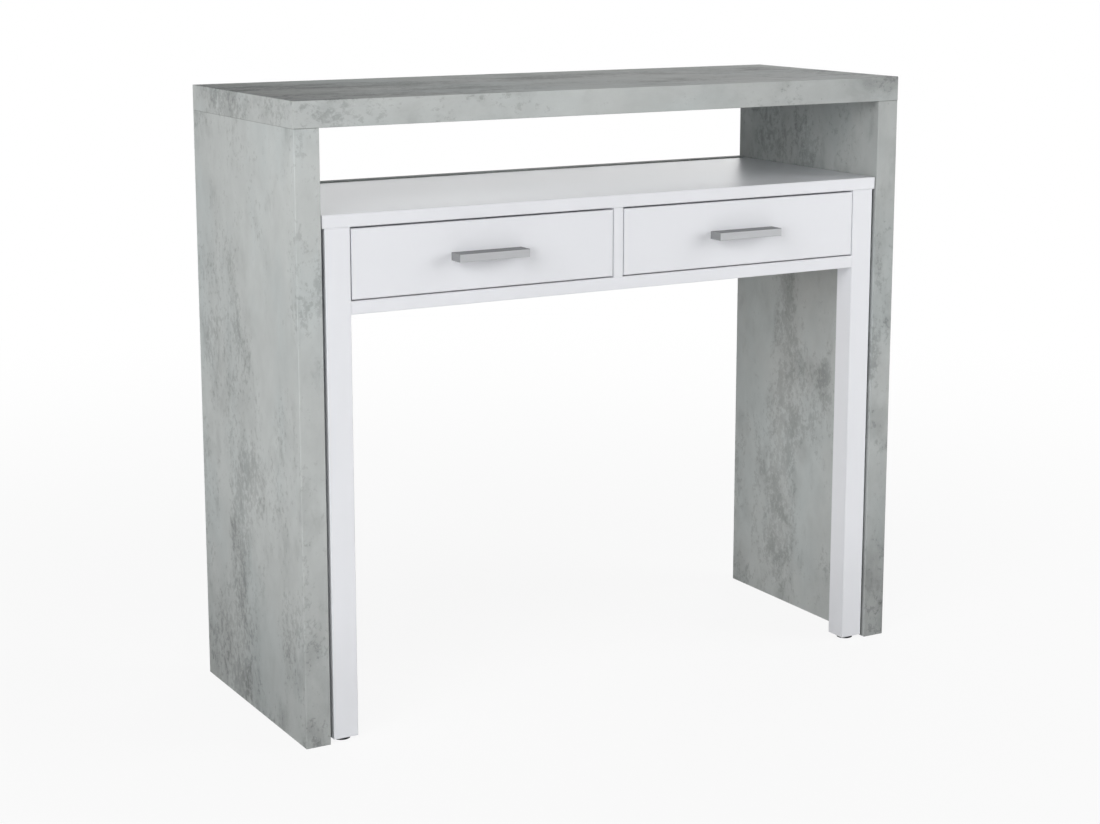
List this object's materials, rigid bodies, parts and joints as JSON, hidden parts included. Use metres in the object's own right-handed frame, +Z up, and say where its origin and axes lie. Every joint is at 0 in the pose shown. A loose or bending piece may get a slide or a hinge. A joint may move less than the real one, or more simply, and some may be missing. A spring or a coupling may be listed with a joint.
{
  "type": "extendable desk",
  "caption": "Console desk: a concrete-look frame of top and side panels, from under which a white writing desk with inset drawers slides forward on telescopic slides.",
  "frame": {"origin": "on the floor, under the middle of the closed desk's box, handles included", "axes": "+Z up, +X to the right of a person facing the drawers, -Y out of the front, the way the desk slides"},
  "size_m": [0.985, 0.383, 0.875],
  "materials": {
    "concrete_decor": "melamine-faced chipboard with a matt concrete-look print",
    "white_melamine": "melamine-faced chipboard, satin white",
    "drawer_board": "foil-wrapped drawer board, matt white",
    "drawer_base_board": "thin fibreboard, matt white face",
    "slide_steel": "zinc-plated cold-rolled steel",
    "cage_steel": "plated ball cage with bearing balls",
    "handle_metal": "satin grey metal",
    "screw_steel": "zinc-plated machine screw",
    "foot_plastic": "black moulded glide",
    "corner_block_plastic": "white moulded corner block",
    "beech": "fluted beech dowel"
  },
  "bodies": {
    "console_frame": {"console_top": "concrete_decor", "left_side_panel": "concrete_decor", "right_side_panel": "concrete_decor", "rear_stretcher": "concrete_decor", "frame_dowels": "beech", "left_slide_outer": "slide_steel", "right_slide_outer": "slide_steel"},
    "desk": {"desk_top": "white_melamine", "left_leg": "white_melamine", "right_leg": "white_melamine", "left_foot": "foot_plastic", "right_foot": "foot_plastic", "front_rail": "white_melamine", "left_apron": "white_melamine", "right_apron": "white_melamine", "rear_apron": "white_melamine", "drawer_divider": "white_melamine", "left_runner_packer": "white_melamine", "right_runner_packer": "white_melamine", "desk_dowels": "beech", "desk_corner_blocks": "corner_block_plastic", "left_slide_inner": "slide_steel", "right_slide_inner": "slide_steel", "left_drawer_inner_rail": "slide_steel", "left_drawer_outer_rail": "slide_steel", "right_drawer_inner_rail": "slide_steel", "right_drawer_outer_rail": "slide_steel"},
    "left_slide_middle": {"left_slide_middle": "slide_steel"},
    "left_slide_outer_cage": {"left_slide_outer_cage": "cage_steel"},
    "left_slide_inner_cage": {"left_slide_inner_cage": "cage_steel"},
    "right_slide_middle": {"right_slide_middle": "slide_steel"},
    "right_slide_outer_cage": {"right_slide_outer_cage": "cage_steel"},
    "right_slide_inner_cage": {"right_slide_inner_cage": "cage_steel"},
    "left_drawer": {"left_drawer_front": "white_melamine", "left_drawer_inner_side": "drawer_board", "left_drawer_outer_side": "drawer_board", "left_drawer_back": "drawer_board", "left_drawer_base": "drawer_base_board", "left_drawer_handle": "handle_metal", "left_drawer_handle_screws": "screw_steel", "left_drawer_inner_runner": "slide_steel", "left_drawer_outer_runner": "slide_steel"},
    "left_drawer_inner_cage": {"left_drawer_inner_cage": "cage_steel"},
    "left_drawer_outer_cage": {"left_drawer_outer_cage": "cage_steel"},
    "right_drawer": {"right_drawer_front": "white_melamine", "right_drawer_inner_side": "drawer_board", "right_drawer_outer_side": "drawer_board", "right_drawer_back": "drawer_board", "right_drawer_base": "drawer_base_board", "right_drawer_handle": "handle_metal", "right_drawer_handle_screws": "screw_steel", "right_drawer_inner_runner": "slide_steel", "right_drawer_outer_runner": "slide_steel"},
    "right_drawer_inner_cage": {"right_drawer_inner_cage": "cage_steel"},
    "right_drawer_outer_cage": {"right_drawer_outer_cage": "cage_steel"}
  },
  "joints": [
    {"name": "desk_slide", "type": "slide", "parent": "console_frame", "child": "desk", "axis": [0, -1, 0], "range_m": [0, 0.34]},
    {"name": "left_slide_middle_travel", "type": "slide", "parent": "console_frame", "child": "left_slide_middle", "axis": [0, -1, 0], "range_m": [0, 0.17]},
    {"name": "left_slide_outer_cage_travel", "type": "slide", "parent": "console_frame", "child": "left_slide_outer_cage", "axis": [0, -1, 0], "range_m": [0, 0.085]},
    {"name": "left_slide_inner_cage_travel", "type": "slide", "parent": "console_frame", "child": "left_slide_inner_cage", "axis": [0, -1, 0], "range_m": [0, 0.255]},
    {"name": "right_slide_middle_travel", "type": "slide", "parent": "console_frame", "child": "right_slide_middle", "axis": [0, -1, 0], "range_m": [0, 0.17]},
    {"name": "right_slide_outer_cage_travel", "type": "slide", "parent": "console_frame", "child": "right_slide_outer_cage", "axis": [0, -1, 0], "range_m": [0, 0.085]},
    {"name": "right_slide_inner_cage_travel", "type": "slide", "parent": "console_frame", "child": "right_slide_inner_cage", "axis": [0, -1, 0], "range_m": [0, 0.255]},
    {"name": "left_drawer_slide", "type": "slide", "parent": "desk", "child": "left_drawer", "axis": [0, -1, 0], "range_m": [0, 0.205]},
    {"name": "left_drawer_inner_cage_travel", "type": "slide", "parent": "desk", "child": "left_drawer_inner_cage", "axis": [0, -1, 0], "range_m": [0, 0.1025]},
    {"name": "left_drawer_outer_cage_travel", "type": "slide", "parent": "desk", "child": "left_drawer_outer_cage", "axis": [0, -1, 0], "range_m": [0, 0.1025]},
    {"name": "right_drawer_slide", "type": "slide", "parent": "desk", "child": "right_drawer", "axis": [0, -1, 0], "range_m": [0, 0.205]},
    {"name": "right_drawer_inner_cage_travel", "type": "slide", "parent": "desk", "child": "right_drawer_inner_cage", "axis": [0, -1, 0], "range_m": [0, 0.1025]},
    {"name": "right_drawer_outer_cage_travel", "type": "slide", "parent": "desk", "child": "right_drawer_outer_cage", "axis": [0, -1, 0], "range_m": [0, 0.1025]}
  ],
  "couplings": [
    {"joint": "left_slide_middle_travel", "follows": "desk_slide", "ratio": 0.5},
    {"joint": "left_slide_outer_cage_travel", "follows": "desk_slide", "ratio": 0.25},
    {"joint": "left_slide_inner_cage_travel", "follows": "desk_slide", "ratio": 0.75},
    {"joint": "right_slide_middle_travel", "follows": "desk_slide", "ratio": 0.5},
    {"joint": "right_slide_outer_cage_travel", "follows": "desk_slide", "ratio": 0.25},
    {"joint": "right_slide_inner_cage_travel", "follows": "desk_slide", "ratio": 0.75},
    {"joint": "left_drawer_inner_cage_travel", "follows": "left_drawer_slide", "ratio": 0.5},
    {"joint": "left_drawer_outer_cage_travel", "follows": "left_drawer_slide", "ratio": 0.5},
    {"joint": "right_drawer_inner_cage_travel", "follows": "right_drawer_slide", "ratio": 0.5},
    {"joint": "right_drawer_outer_cage_travel", "follows": "right_drawer_slide", "ratio": 0.5}
  ]
}
